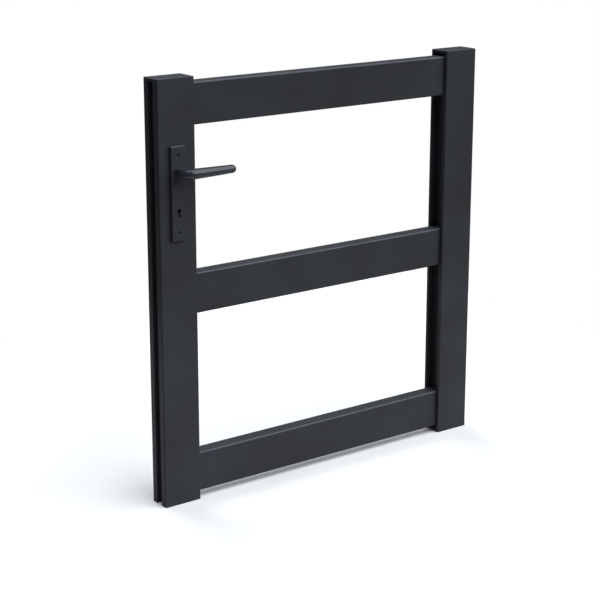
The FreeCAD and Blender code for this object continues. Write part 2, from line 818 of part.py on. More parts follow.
def make_lock_posts():
    """Posts between the case's sides, and the screws that hold the cover on three of them."""
    bored = []
    for x, z in cover_posts():
        post = cylinder(x, INSIDE_Y, z, "y", "post_radius", INSIDE_WIDTH)
        bored.append(cut(post, cylinder(x, "0", z, "y", "cover_thread_radius", INSIDE_WIDTH)))
    guide = cylinder(GUIDE_X, INSIDE_Y, GUIDE_Z, "y", "post_radius", INSIDE_WIDTH)
    pivot = cylinder(PIVOT_X, INSIDE_Y, PIVOT_Z, "y", "post_radius", INSIDE_WIDTH)
    finish(group(*bored, guide, pivot), "lock_posts")
    outside = "( case_thickness / 2 )"
    shank_radius = "( cover_thread_radius - thread_gap )"
    screws = []
    for x, z in cover_posts():
        head = cylinder(x, outside, z, "y", "post_radius", "cover_head_height")
        shank = cylinder(x, outside, z, "-y", shank_radius, "cover_screw_length")
        screws.append(join(head, shank))
    finish(group(*screws), "lock_cover_screws")


def make_face_plate():
    """Face plate lying on the floor of the outer groove, with its two screws."""
    base = "( face_plate_centre - face_plate_height / 2 )"
    body = new_body("face_plate")
    section = sketch_on(body, "YZ_Plane", FACE_FRONT)
    rectangle(section, "( 0 - face_plate_width / 2 )", base, "face_plate_width", "face_plate_height")
    pad(body, section, "face_plate_thickness")
    windows = sketch_on(body, "YZ_Plane", FACE_FRONT)
    half = "( latch_thickness / 2 + latch_gap )"
    low = f"( {LATCH_MIDDLE} - latch_height / 2 - latch_gap )"
    rectangle(windows, f"( 0 - {half} )", low, f"( 2 * {half} )", "( latch_height + 2 * latch_gap )")
    low = "( dead_bolt_base - latch_gap )"
    rectangle(windows, f"( 0 - {half} )", low, f"( 2 * {half} )", "( dead_bolt_height + 2 * latch_gap )")
    pocket(body, windows, "face_plate_thickness", reverse=True)
    seats = sketch_on(body, "YZ_Plane", FACE_FRONT)
    for z in FACE_SCREWS:
        circle(seats, "0", z, "( face_head_radius + seat_gap )")
    head_height = "( face_plate_thickness / 2 )"
    pocket(body, seats, head_height, reverse=True)
    shank_holes = sketch_on(body, "YZ_Plane", FACE_FRONT)
    for z in FACE_SCREWS:
        circle(shank_holes, "0", z, "( face_screw_radius + seat_gap )")
    pocket(body, shank_holes, "face_plate_thickness", reverse=True)
    slot_y = "( 0 - face_head_radius )"
    slot_length = "( 2 * face_head_radius )"
    screws = []
    for z in FACE_SCREWS:
        head = cylinder(FACE_FRONT, "0", z, "x", "face_head_radius", head_height)
        shank = cylinder(FACE_FRONT, "0", z, "x", "face_screw_radius", "face_screw_length")
        slot_z = f"( {z} - slot_width / 2 )"
        drive = box(FACE_FRONT, slot_y, slot_z, "slot_depth", slot_length, "slot_width")
        screws.append(cut(join(head, shank), drive))
    finish(group(*screws), "face_plate_screws")


def make_latch():
    """Bevelled latch bolt: head, tail over the follower, and the hook that the follower pulls."""
    body = new_body("latch_bolt")
    outline = sketch_on(body, "XY_Plane", f"( {LATCH_MIDDLE} - latch_height / 2 )")
    half = "( latch_thickness / 2 )"
    head_end = f"( {LATCH_TIP} + latch_length )"
    polygon(
        outline,
        [
            (f"( {LATCH_TIP} + latch_thickness )", f"( 0 - {half} )"),
            (head_end, f"( 0 - {half} )"),
            (head_end, half),
            (LATCH_TIP, half),
            (LATCH_TIP, f"( {half} - latch_tip_flat )"),
        ],
    )
    pad(body, outline, "latch_height")
    tail = sketch_on(body, "XZ_Plane", "( 0 - tail_thickness / 2 )")
    tail_end = f"( {HOOK_X} + hook_width )"
    tail_low = f"( {LATCH_MIDDLE} - tail_height / 2 )"
    tail_high = f"( {LATCH_MIDDLE} + tail_height / 2 )"
    hook_low = "( handle_height + hook_drop )"
    start = f"( {head_end} - tail_overlap )"
    polygon(
        tail,
        [
            (start, tail_low),
            (HOOK_X, tail_low),
            (HOOK_X, hook_low),
            (tail_end, hook_low),
            (tail_end, tail_high),
            (start, tail_high),
        ],
    )
    pad(body, tail, "tail_thickness")


def make_dead_bolt():
    """Dead bolt with the slot for its guide post and two notches for the key."""
    y = "( 0 - latch_thickness / 2 )"
    width = "latch_thickness"
    base = "dead_bolt_base"
    start = f"( {FACE_FRONT} + dead_bolt_recess )"
    block = box(start, y, base, "dead_bolt_length", width, "dead_bolt_height")
    radius = "( post_radius + seat_gap )"
    slot = box(GUIDE_X, y, f"( {GUIDE_Z} - {radius} )", "dead_bolt_throw", width, f"( 2 * {radius} )")
    slot_ends = [
        cylinder(x, y, GUIDE_Z, "y", radius, width)
        for x in (GUIDE_X, f"( {GUIDE_X} + dead_bolt_throw )")
    ]
    notches = [
        box(x, y, base, "key_notch_width", width, "key_notch_depth")
        for x in (
            f"( {SPINDLE_X} - key_notch_before - key_notch_width )",
            f"( {SPINDLE_X} + key_notch_after )",
        )
    ]
    finish(cut(block, slot, *slot_ends, *notches), "dead_bolt")


def make_follower():
    """Follower with a square hole for the spindle and two arms, for the latch and the spring."""
    hub = cylinder(SPINDLE_X, CASE_MIDDLE, "handle_height", "y", "follower_radius", "case_thickness")
    arms = box(
        f"( {SPINDLE_X} - follower_arm_width / 2 )",
        "( 0 - follower_arm_thickness / 2 )",
        "( handle_height - spring_arm_reach )",
        "follower_arm_width",
        "follower_arm_thickness",
        "( spring_arm_reach + follower_arm_reach )",
    )
    finish(cut(join(hub, arms), square_bar(CASE_MIDDLE, "case_thickness", "spindle_gap")), "follower")


def square_bar(y, length, gap):
    return box(
        f"( {SPINDLE_X} - spindle_size / 2 - {gap} )",
        y,
        f"( handle_height - spindle_size / 2 - {gap} )",
        f"( spindle_size + 2 * {gap} )",
        length,
        f"( spindle_size + 2 * {gap} )",
    )


def make_detent():
    """Sprung detent lever whose foot bears on the dead bolt's top edge."""
    low_z = "( dead_bolt_base + dead_bolt_height + detent_clearance )"
    foot_x = f"( {PIVOT_X} - detent_length )"
    y = "( 0 - detent_thickness / 2 )"
    bar_z = f"( {low_z} + detent_foot_height )"
    bar_height = "( detent_height - detent_foot_height )"
    bar = box(foot_x, y, bar_z, "detent_length", "detent_thickness", bar_height)
    foot = box(foot_x, y, low_z, "detent_foot_length", "detent_thickness", "detent_height")
    eye = cylinder(PIVOT_X, y, PIVOT_Z, "y", "( 2 * post_radius )", "detent_thickness")
    bore = cylinder(PIVOT_X, y, PIVOT_Z, "y", "( post_radius + post_gap )", "detent_thickness")
    finish(cut(join(bar, foot, eye), bore), "detent_lever")


def make_spring(label, direction, x, y, z, length):
    """Open compression coil, from one end seat along the given direction."""
    helix = document.addObject("Part::Helix", label + "_path")
    free_length = f"( {length} - 2 * spring_wire - 2 * spring_gap )"
    bind(helix, Pitch="spring_pitch", Height=free_length, Radius="( spring_radius - spring_wire )")
    wire = document.addObject("Part::Circle", label + "_wire")
    wire.Placement = Placement(Vector(), Rotation(Vector(1, 0, 0), 90))
    bind(wire, Radius="spring_wire")
    place(wire, "( spring_radius - spring_wire )", "0", "0")
    coil = document.addObject("Part::Sweep", label + "_coil")
    document.recompute()
    coil.Sections = [wire]
    coil.Spine = (helix, [])
    coil.Solid = True
    coil.Frenet = True
    seated = document.addObject("Part::Compound", label + "_seated")
    seated.Links = [coil]
    seated.Placement = Placement(Vector(), TURNS[direction])
    offset = "( spring_wire + spring_gap )"
    steps = {"x": "0", "y": "0", "z": "0"}
    steps[direction[-1]] = offset if direction[0] != "-" else f"( 0 - {offset} )"
    place(seated, f"( {x} + {steps['x']} )", f"( {y} + {steps['y']} )", f"( {z} + {steps['z']} )")
    finish(seated, label)


def make_springs():
    tail_end = f"( {HOOK_X} + hook_width )"
    room = f"( {CASE_BACK} - case_wall - {tail_end} )"
    make_spring("latch_spring", "x", tail_end, "0", LATCH_MIDDLE, room)
    arm_z = "( handle_height - spring_arm_reach + lever_spring_rise )"
    wall_x = f"( {GROOVE_FLOOR} + case_wall )"
    arm_x = f"( {SPINDLE_X} - follower_arm_width / 2 )"
    make_spring("lever_spring", "x", wall_x, "0", arm_z, f"( {arm_x} - {wall_x} )")
    detent_top = "( dead_bolt_base + dead_bolt_height + detent_clearance + detent_height )"
    spring_x = f"( {PIVOT_X} - detent_length + detent_spring_inset )"
    make_spring("detent_spring", "z", spring_x, "0", detent_top, f"( {LUG_Z} - {detent_top} )")


# ---- Handle set -------------------------------------------------------------------------------

PLATE_FACE = f"( {FRONT} - plate_thickness )"
GRIP_Y = f"( {FRONT} - grip_offset )"
COLLAR_FACE = f"( {PLATE_FACE} - collar_flange )"
JOURNAL_LENGTH = "( plate_thickness + collar_clearance )"
LEVER_GRUB_Y = f"( {GRIP_Y} + grub_setback )"
KNOB_GRUB_Y = f"( 0 - {COLLAR_FACE} + collar_clearance + knob_grub_inset )"


def make_backplate(label, front):
    """Long backplate with a collar hole, a keyhole and two screw holes."""
    body = new_body(label)
    low_face = PLATE_FACE if front else BACK
    offset = f"( 0 - {low_face} - plate_thickness )"
    outline = sketch_on(body, "XZ_Plane", offset)
    rectangle(
        outline,
        f"( {SPINDLE_X} - plate_width / 2 )",
        "( plate_centre - plate_height / 2 )",
        "plate_width",
        "plate_height",
    )
    pad(body, outline, "plate_thickness")
    round_edges(body, "plate_edge_radius", runs_along("y"))
    outer = value_of(PLATE_FACE) if front else -value_of(PLATE_FACE)
    round_edges(
        body,
        "plate_edge_radius",
        lambda edge: abs(edge.BoundBox.YMin - outer) < 0.01 and abs(edge.BoundBox.YMax - outer) < 0.01,
    )
    screw_hole = "plate_screw_radius" if front else "sleeve_radius"
    holes = sketch_on(body, "XZ_Plane", offset)
    circle(holes, SPINDLE_X, "handle_height", "( collar_radius + seat_gap )")
    circle(holes, SPINDLE_X, "key_height", "keyhole_radius")
    for height in PLATE_SCREWS:
        circle(holes, SPINDLE_X, height, f"( {screw_hole} + seat_gap )")
    pocket(body, holes, "plate_thickness", reverse=True)
    slot = sketch_on(body, "XZ_Plane", offset)
    rectangle(
        slot,
        f"( {SPINDLE_X} - keyhole_slot_width / 2 )",
        "( key_height - keyhole_slot_drop )",
        "keyhole_slot_width",
        "keyhole_slot_drop",
    )
    pocket(body, slot, "plate_thickness", reverse=True)
    seat_depth = "( plate_head_setback + plate_head_height )" if front else "sleeve_head_height"
    seat_radius = "plate_head_radius" if front else "sleeve_head_radius"
    seat_offset = f"( {offset} + plate_thickness - {seat_depth} )" if front else offset
    seats = sketch_on(body, "XZ_Plane", seat_offset)
    for height in PLATE_SCREWS:
        circle(seats, SPINDLE_X, height, f"( {seat_radius} + seat_gap )")
    pocket(body, seats, seat_depth, reverse=True)


def make_plate_fixings():
    """Machine screws sunk in the front plate, and the sleeve nuts that they meet from the back."""
    head_y = f"( {PLATE_FACE} + plate_head_setback )"
    cross_x = f"( {SPINDLE_X} - cross_length / 2 )"
    narrow_x = f"( {SPINDLE_X} - cross_width / 2 )"
    rear_face = f"( 0 - {PLATE_FACE} )"
    driver_y = f"( {rear_face} - cross_depth )"
    thread_y = f"( {rear_face} - sleeve_length )"
    thread_radius = "( plate_screw_radius + thread_gap )"
    thread_length = "( sleeve_length - sleeve_end )"
    screws = []
    sleeves = []
    for z in PLATE_SCREWS:
        slot_z = f"( {z} - cross_width / 2 )"
        tall_z = f"( {z} - cross_length / 2 )"
        head = cylinder(SPINDLE_X, head_y, z, "y", "plate_head_radius", "plate_head_height")
        shank = cylinder(SPINDLE_X, head_y, z, "y", "plate_screw_radius", "plate_screw_length")
        across = box(cross_x, head_y, slot_z, "cross_length", "cross_depth", "cross_width")
        upright = box(narrow_x, head_y, tall_z, "cross_width", "cross_depth", "cross_length")
        screws.append(cut(join(head, shank), across, upright))
        rim = cylinder(SPINDLE_X, rear_face, z, "-y", "sleeve_head_radius", "sleeve_head_height")
        sleeve = cylinder(SPINDLE_X, rear_face, z, "-y", "sleeve_radius", "sleeve_length")
        thread = cylinder(SPINDLE_X, thread_y, z, "y", thread_radius, thread_length)
        driver = box(cross_x, driver_y, slot_z, "cross_length", "cross_depth", "cross_width")
        sleeves.append(cut(join(rim, sleeve), thread, driver))
    finish(group(*screws), "backplate_screws")
    finish(group(*sleeves), "backplate_sleeve_nuts")


def make_collar():
    """Flanged bearing that lines the backplate's hole."""
    length = "( collar_flange + plate_thickness )"
    bore = "( journal_radius + journal_gap )"
    flange = cylinder(SPINDLE_X, COLLAR_FACE, "handle_height", "y", "collar_flange_radius", "collar_flange")
    sleeve = cylinder(SPINDLE_X, COLLAR_FACE, "handle_height", "y", "collar_radius", length)
    return cut(join(flange, sleeve), cylinder(SPINDLE_X, COLLAR_FACE, "handle_height", "y", bore, length))


def make_journal(y, direction):
    return cylinder(SPINDLE_X, y, "handle_height", direction, "journal_radius", JOURNAL_LENGTH)


def make_grub_hole(y):
    radius = "( grub_radius + thread_gap )"
    return cylinder(SPINDLE_X, y, "handle_height", "-z", radius, "( 2 * grip_radius )")


def make_lever():
    """L-shaped lever: journal, flaring neck, quarter-turn elbow, tapering grip and domed tip."""
    neck_face = f"( {COLLAR_FACE} - collar_clearance )"
    elbow_y = f"( {GRIP_Y} + elbow_radius )"
    grip_x = f"( {SPINDLE_X} + elbow_radius )"
    grip_length = "( grip_reach - elbow_radius - tip_radius )"
    neck_length = f"( {neck_face} - {elbow_y} )"
    neck = cone(SPINDLE_X, neck_face, "handle_height", "-y", "neck_radius", "grip_radius", neck_length)
    elbow = document.addObject("Part::Torus", "elbow")
    elbow.Placement = Placement(Vector(), Rotation(Vector(0, 0, 1), 180))
    elbow.Angle3 = 90
    bind(elbow, Radius1="elbow_radius", Radius2="grip_radius")
    place(elbow, grip_x, elbow_y, "handle_height")
    grip = cone(grip_x, GRIP_Y, "handle_height", "x", "grip_radius", "tip_radius", grip_length)
    tip = document.addObject("Part::Sphere", "tip")
    bind(tip, Radius="tip_radius")
    place(tip, f"( {grip_x} + {grip_length} )", GRIP_Y, "handle_height")
    hole = square_bar("( 0 - spindle_reach - spindle_end_gap )", "spindle_reach", "spindle_gap")
    outside = join(make_journal(neck_face, "y"), neck, elbow, grip, tip)
    return cut(outside, hole, make_grub_hole(LEVER_GRUB_Y))


def make_knob():
    """Oval knob on the back, reaching as far from the leaf as the lever does in front."""
    neck_face = f"( 0 - {COLLAR_FACE} + collar_clearance )"
    middle_y = f"( grip_offset - {FRONT} + grip_radius - knob_half_depth )"
    neck_length = f"( {middle_y} - {neck_face} )"
    neck = cylinder(SPINDLE_X, neck_face, "handle_height", "y", "neck_radius", neck_length)
    oval = document.addObject("Part::Ellipsoid", "oval")
    bind(oval, Radius1="knob_half_height", Radius2="knob_half_width", Radius3="knob_half_depth")
    place(oval, SPINDLE_X, middle_y, "handle_height")
    hole = square_bar("0", "( spindle_reach + spindle_end_gap )", "spindle_gap")
    outside = join(make_journal(neck_face, "-y"), neck, oval)
    return cut(outside, hole, make_grub_hole(KNOB_GRUB_Y))


def make_grub(y):
    start = "( handle_height - spindle_size / 2 - spindle_gap )"
    return cylinder(SPINDLE_X, y, start, "-z", "grub_radius", "grub_length")


def make_handle_set():
    make_backplate("front_backplate", True)
    make_backplate("rear_backplate", False)
    make_plate_fixings()
    finish(make_collar(), "front_collar")
    finish(mirrored_to_back(make_collar()), "rear_collar")
    finish(make_lever(), "front_lever")
    finish(make_knob(), "rear_knob")
    finish(square_bar("( 0 - spindle_reach )", "( 2 * spindle_reach )", "0"), "spindle")
    finish(group(make_grub(LEVER_GRUB_Y), make_grub(KNOB_GRUB_Y)), "grub_screws")


# ---- Whole gate -------------------------------------------------------------------------------


def make_gate():
    cut_lock_openings(make_stile("lock_stile", "lock"))
    cut_hinge_openings(make_stile("hinge_stile", "hinge"))
    make_cap("lock_stile_cap", "lock")
    make_cap("hinge_stile_cap", "hinge")
    for index, label in enumerate(RAIL_NAMES):
        make_rail(label, index)
    make_rail_joints("lock")
    make_rail_joints("hinge")
    make_locking_screws()
    for name, centre in HINGE_HEIGHTS.items():
        make_hinge(name, centre)
    make_lock_case()
    make_lock_posts()
    make_face_plate()
    make_latch()
    make_dead_bolt()
    make_follower()
    make_detent()
    make_springs()
    make_handle_set()


def check_document():
    """Stops on any failed object or unsound shape."""
    for item in document.Objects:
        if "Invalid" in item.State or "Error" in item.State:
            raise RuntimeError(f"{item.Label}: {item.State}")
    for item in nodes:
        shape = item.Shape
        if shape.isNull() or not shape.isValid() or not shape.Solids:
            raise RuntimeError(f"{item.Label}: shape is not a valid solid")


def export_nodes():
    os.makedirs("parts", exist_ok=True)
    for item in nodes:
        item.Shape.exportStep(f"parts/{item.Label}.step")
        print(item.Label, len(item.Shape.Solids), round(item.Shape.Volume))


make_gate()
document.removeObject(scratch.Name)
document.recompute()
check_document()
export_nodes()
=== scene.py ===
import json
import math

import bmesh
import bpy
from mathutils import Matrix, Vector

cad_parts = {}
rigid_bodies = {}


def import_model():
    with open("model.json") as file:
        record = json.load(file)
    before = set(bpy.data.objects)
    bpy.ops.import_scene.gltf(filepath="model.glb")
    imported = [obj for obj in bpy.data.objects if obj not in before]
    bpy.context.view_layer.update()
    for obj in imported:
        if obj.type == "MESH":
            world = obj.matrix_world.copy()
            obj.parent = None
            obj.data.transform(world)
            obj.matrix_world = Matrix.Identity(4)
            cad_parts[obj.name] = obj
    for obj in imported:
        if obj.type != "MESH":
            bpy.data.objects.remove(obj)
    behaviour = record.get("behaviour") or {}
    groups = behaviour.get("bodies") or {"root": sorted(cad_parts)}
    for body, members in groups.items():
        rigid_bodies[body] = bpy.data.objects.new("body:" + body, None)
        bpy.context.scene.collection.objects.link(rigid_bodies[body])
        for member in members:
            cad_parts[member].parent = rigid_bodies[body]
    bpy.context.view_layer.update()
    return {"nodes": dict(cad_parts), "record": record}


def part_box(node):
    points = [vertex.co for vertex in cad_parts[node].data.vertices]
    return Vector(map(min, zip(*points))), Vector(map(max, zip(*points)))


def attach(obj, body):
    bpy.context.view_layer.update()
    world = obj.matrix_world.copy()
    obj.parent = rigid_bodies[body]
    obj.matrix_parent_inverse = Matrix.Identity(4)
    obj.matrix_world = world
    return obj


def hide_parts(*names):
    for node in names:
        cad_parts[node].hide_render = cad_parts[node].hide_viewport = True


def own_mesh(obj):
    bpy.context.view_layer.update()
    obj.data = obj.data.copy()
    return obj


# Looks, camera and light for the garden gate. Every length is in metres, in the row's frame.

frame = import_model()

NODES = frame["nodes"]
RECORD = frame["record"]
SLOT_OF = {part["node"]: part["material_slot"] for part in RECORD["subparts"]}
MM = 0.001

# Linear colours.
ANTHRACITE = (0.0174, 0.0186, 0.0212)
LEVER_GREY = (0.0150, 0.0172, 0.0225)
BLACK = (0.0060, 0.0060, 0.0065)
# Painted highlight colour: a paler tone laid on up-sloping rounded edges in place of light from above.
EDGE_HIGHLIGHT = (0.0520, 0.0600, 0.0740)
STAINLESS = (0.56, 0.56, 0.55)
ZINC = (0.60, 0.61, 0.62)
PHOSPHATE = (0.020, 0.020, 0.022)
SPRING_WIRE = (0.48, 0.48, 0.49)
ALUMINIUM = (0.72, 0.73, 0.74)
NYLON = (0.010, 0.010, 0.011)
LIGHT_TINT = (0.94, 0.97, 1.0)
SKY_TINT = (0.88, 0.95, 1.0)

# How far a coat drifts from its own colour, channel by channel.
DULLED = (0.86, 0.79, 0.72)
FRESH = (1.13, 1.18, 1.24)

# Keyhole liner, with the distance down from the spindle's axis to the keyhole's round head.
SPINDLE_TO_KEY = 92 * MM
LINER_BORE = {"radius": 4.95 * MM, "slot_half": 1.95 * MM, "drop": 15.9 * MM}
LINER_RIM = {"radius": 6.6 * MM, "slot_half": 3.6 * MM, "drop": 17.6 * MM}
RIM_HEIGHT = 0.35 * MM
CREST_HEIGHT = 0.55 * MM
LINER_DEPTH = 3 * MM
LINER_EDGE = 0.15 * MM
KEYHOLE_STEPS = 20

# Coil springs.
WIRE = 1.0 * MM
COIL_PITCH = 2.6 * MM
CLOSED_TURNS = 2
STEPS_PER_TURN = 28
WIRE_SIDES = 10

# Stage. The floor is small and overexposed, and the sky dim, so little of them shows in the coat.
FLOOR_HALF = 1.4
FLOOR_GREY = 0.43
SKY_STRENGTH = 0.19

# Camera, fitted to the photograph. The angles are in degrees.
CAMERA_PLACE = (-2.357, -3.083, 1.546)
CAMERA_DIP = 14.93
CAMERA_TURN = 36.25
CAMERA_LENS_MM = 95.2


# ---- Node helpers -----------------------------------------------------------------------------


def new_material(name, color, roughness, metallic=0.0, specular=0.5):
    """A principled material with its plain values set on the shader, ready for nodes on top."""
    material = bpy.data.materials.new(name)
    material.use_nodes = True
    shader = material.node_tree.nodes["Principled BSDF"]
    shader.inputs["Base Color"].default_value = (*color, 1)
    shader.inputs["Roughness"].default_value = roughness
    shader.inputs["Metallic"].default_value = metallic
    shader.inputs["Specular IOR Level"].default_value = specular
    return material, shader


def object_coords(material, scale=(1, 1, 1)):
    """Coordinates that stay with the piece, in metres, stretched by scale."""
    nodes, links = material.node_tree.nodes, material.node_tree.links
    coords = nodes.new("ShaderNodeTexCoord")
    mapping = nodes.new("ShaderNodeMapping")
    mapping.inputs["Scale"].default_value = scale
    links.new(coords.outputs["Object"], mapping.inputs["Vector"])
    return mapping.outputs["Vector"]


def noise(material, vector, scale, detail=2.0, rough=0.5):
    """Noise value with about scale patches to the metre."""
    nodes, links = material.node_tree.nodes, material.node_tree.links
    node = nodes.new("ShaderNodeTexNoise")
    node.inputs["Scale"].default_value = scale
    node.inputs["Detail"].default_value = detail
    node.inputs["Roughness"].default_value = rough
    links.new(vector, node.inputs["Vector"])
    return node.outputs["Fac"]


def ramp(material, value, stops):
    """Colour ramp through (position, colour) stops."""
    nodes, links = material.node_tree.nodes, material.node_tree.links
    node = nodes.new("ShaderNodeValToRGB")
    elements = node.color_ramp.elements
    for index, (position, color) in enumerate(stops):
        element = elements[index] if index < 2 else elements.new(position)
        element.position = position
        element.color = (*color, 1)
    links.new(value, node.inputs["Fac"])
    return node.outputs["Color"]


def spread(material, value, low, high):
    """Maps the usual range of a noise value onto low to high."""
    nodes, links = material.node_tree.nodes, material.node_tree.links
    node = nodes.new("ShaderNodeMapRange")
    node.inputs["From Min"].default_value = 0.3
    node.inputs["From Max"].default_value = 0.7
    node.inputs["To Min"].default_value = low
    node.inputs["To Max"].default_value = high
    links.new(value, node.inputs["Value"])
    return node.outputs["Result"]


def mix_colors(material, factor, first, second):
    """First where factor is 0, second where it is 1."""
    nodes, links = material.node_tree.nodes, material.node_tree.links
    node = nodes.new("ShaderNodeMix")
    node.data_type = "RGBA"
    links.new(factor, node.inputs["Factor"])
    links.new(first, node.inputs["A"])
    links.new(second, node.inputs["B"])
    return node.outputs["Result"]


def product(material, first, second):
    nodes, links = material.node_tree.nodes, material.node_tree.links
    node = nodes.new("ShaderNodeMath")
    node.operation = "MULTIPLY"
    links.new(first, node.inputs[0])
    links.new(second, node.inputs[1])
    return node.outputs["Value"]


def bump(material, shader, heights):
    """Stacks (height output, distance in metres, strength) layers of bump on the shader."""
    nodes, links = material.node_tree.nodes, material.node_tree.links
    previous = None
    for height, distance, strength in heights:
        node = nodes.new("ShaderNodeBump")
        node.inputs["Distance"].default_value = distance
        node.inputs["Strength"].default_value = strength
        links.new(height, node.inputs["Height"])
        if previous is not None:
            links.new(previous.outputs["Normal"], node.inputs["Normal"])
        previous = node
    links.new(previous.outputs["Normal"], shader.inputs["Normal"])


def upper_edges(material):
    """Mask for the painted highlight: 1 on rounded edges that slope up to the sky, 0 on upright and level
    faces.
    """
    nodes, links = material.node_tree.nodes, material.node_tree.links
    geometry = nodes.new("ShaderNodeNewGeometry")
    split = nodes.new("ShaderNodeSeparateXYZ")
    links.new(geometry.outputs["Normal"], split.inputs["Vector"])
    off, on = (0, 0, 0), (1, 1, 1)
    return ramp(material, split.outputs["Z"], [(0.15, off), (0.45, on), (0.88, on), (0.97, off)])


def tint(color, factors):
    """The colour with each channel multiplied by its own factor."""
    return tuple(min(1.0, channel * factor) for channel, factor in zip(color, factors))


def shade(color, factor):
    """The colour made darker or lighter as a whole."""
    return tint(color, (factor, factor, factor))


# ---- Materials --------------------------------------------------------------------------------


def powder_coat(name, color, roughness, specular, grain, grain_depth, edge_highlight=0.0):
    """Powder coat: a fine grain over a faint orange peel, with cloudy drifts in tone and gloss.

    The last argument sets how strongly a painted highlight, a paler tone standing in for light from above,
    is laid on rounded edges that slope up to the sky."""
    material, shader = new_material(name, color, roughness, specular=specular)
    links = material.node_tree.links
    vector = object_coords(material)
    drift = noise(material, vector, 7.0, detail=3.0)
    speckle = noise(material, vector, grain, detail=1.0)
    tone = ramp(material, drift, [(0.32, tint(color, DULLED)), (0.68, tint(color, FRESH))])
    fleck = ramp(material, speckle, [(0.35, shade(color, 0.72)), (0.68, shade(color, 1.35))])
    patches = spread(material, noise(material, vector, 23.0), 0.25, 0.45)
    coat = mix_colors(material, patches, tone, fleck)
    # Painted highlight: rounded edges that slope up to the sky are mixed toward a paler tone, standing in
    # for light from above.
    if edge_highlight > 0:
        highlight_strength = spread(material, noise(material, vector, 40.0, detail=3.0), 0.6 * edge_highlight, edge_highlight)
        painted_highlight = ramp(material, drift, [(0.3, shade(EDGE_HIGHLIGHT, 0.9)), (0.7, shade(EDGE_HIGHLIGHT, 1.1))])
        coat = mix_colors(material, product(material, upper_edges(material), highlight_strength), coat, painted_highlight)
    links.new(coat, shader.inputs["Base Color"])
    sheen = noise(material, vector, 60.0, detail=4.0)
    links.new(spread(material, sheen, roughness - 0.05, roughness + 0.06), shader.inputs["Roughness"])
    peel = noise(material, vector, 260.0, detail=1.0)
    bump(material, shader, [(peel, 0.0003, 0.3), (speckle, grain_depth, 0.5)])
    return material


def brushed_metal(name, color, roughness, along):
    """Bare metal with fine lines drawn along one direction."""
    material, shader = new_material(name, color, roughness, metallic=1.0)
    links = material.node_tree.links
    stretch = {"x": (6, 900, 900), "z": (900, 900, 6)}[along]
    lines = noise(material, object_coords(material, stretch), 1.0, detail=3.0, rough=0.6)
    stain = noise(material, object_coords(material), 35.0, detail=4.0)
    tone = ramp(material, lines, [(0.3, shade(color, 0.8)), (0.7, shade(color, 1.12))])
    dull = ramp(material, stain, [(0.35, shade(color, 0.7)), (0.7, color)])
    metal = mix_colors(material, spread(material, stain, 0.15, 0.4), tone, dull)
    links.new(metal, shader.inputs["Base Color"])
    links.new(spread(material, lines, roughness - 0.07, roughness + 0.1), shader.inputs["Roughness"])
    bump(material, shader, [(lines, 0.00004, 0.6)])
    return material


def zinc_plate(name, color, roughness):
    """Zinc plating: small crystals of slightly different grey, and a dull bloom."""
    material, shader = new_material(name, color, roughness, metallic=1.0)
    nodes, links = material.node_tree.nodes, material.node_tree.links
    vector = object_coords(material)
    crystals = nodes.new("ShaderNodeTexVoronoi")
    crystals.inputs["Scale"].default_value = 420.0
    links.new(vector, crystals.inputs["Vector"])
    grey = nodes.new("ShaderNodeSeparateColor")
    links.new(crystals.outputs["Color"], grey.inputs["Color"])
    flake = grey.outputs["Red"]
    tone = ramp(material, flake, [(0.0, shade(color, 0.86)), (1.0, shade(color, 1.06))])
    bloom = noise(material, vector, 110.0, detail=3.0)
    dull = ramp(material, bloom, [(0.35, shade(color, 0.88)), (0.7, shade(color, 1.0))])
    plating = mix_colors(material, spread(material, bloom, 0.2, 0.5), tone, dull)
    links.new(plating, shader.inputs["Base Color"])
    links.new(spread(material, bloom, roughness - 0.02, roughness + 0.05), shader.inputs["Roughness"])
    bump(material, shader, [(flake, 0.00002, 0.3)])
    return material


def moulded_nylon(name, color, roughness):
    """Black nylon with a fine spark-eroded grain."""
    material, shader = new_material(name, color, roughness, specular=0.4)
    links = material.node_tree.links
    vector = object_coords(material)
    grain = noise(material, vector, 1400.0, detail=2.0)
    haze = noise(material, vector, 90.0, detail=3.0)
    tone = ramp(material, haze, [(0.3, shade(color, 0.8)), (0.7, shade(color, 1.3))])
    links.new(tone, shader.inputs["Base Color"])
    links.new(spread(material, grain, roughness - 0.06, roughness + 0.08), shader.inputs["Roughness"])
    bump(material, shader, [(grain, 0.00006, 0.5)])
    return material


MATERIALS = {
    # The frame, plate and hinge coats get a painted highlight on their up-sloping edges.
    "coated_frame": powder_coat(
        "frame_coat", ANTHRACITE, 0.42, specular=0.075, grain=1100.0, grain_depth=0.00008, edge_highlight=0.8
    ),
    "coated_plate": powder_coat(
        "plate_coat", ANTHRACITE, 0.38, specular=0.09, grain=1300.0, grain_depth=0.00006, edge_highlight=0.8
    ),
    "coated_lever": powder_coat(
        "lever_coat", LEVER_GREY, 0.27, specular=0.22, grain=1600.0, grain_depth=0.00002
    ),
    "coated_hinge": powder_coat(
        "hinge_coat", ANTHRACITE, 0.42, specular=0.10, grain=1100.0, grain_depth=0.00008, edge_highlight=0.5
    ),
    "black_steel": powder_coat(
        "black_coat", BLACK, 0.38, specular=0.40, grain=1600.0, grain_depth=0.00004
    ),
    "stainless_steel": brushed_metal("stainless", STAINLESS, 0.30, along="z"),
    "zinc_plated_steel": zinc_plate("zinc", ZINC, 0.38),
    "bolt_steel": brushed_metal("phosphated", PHOSPHATE, 0.50, along="x"),
    "spring_steel": brushed_metal("spring_wire", SPRING_WIRE, 0.30, along="x"),
    "mill_aluminium": brushed_metal("mill_aluminium", ALUMINIUM, 0.36, along="z"),
    "black_nylon": moulded_nylon("nylon", NYLON, 0.42),
}


def dress_nodes():
    """Gives every CAD node the material of its slot."""
    for name, node in NODES.items():
        node.data.materials.clear()
        node.data.materials.append(MATERIALS[SLOT_OF[name]])


# ---- Pieces of its own ------------------------------------------------------------------------


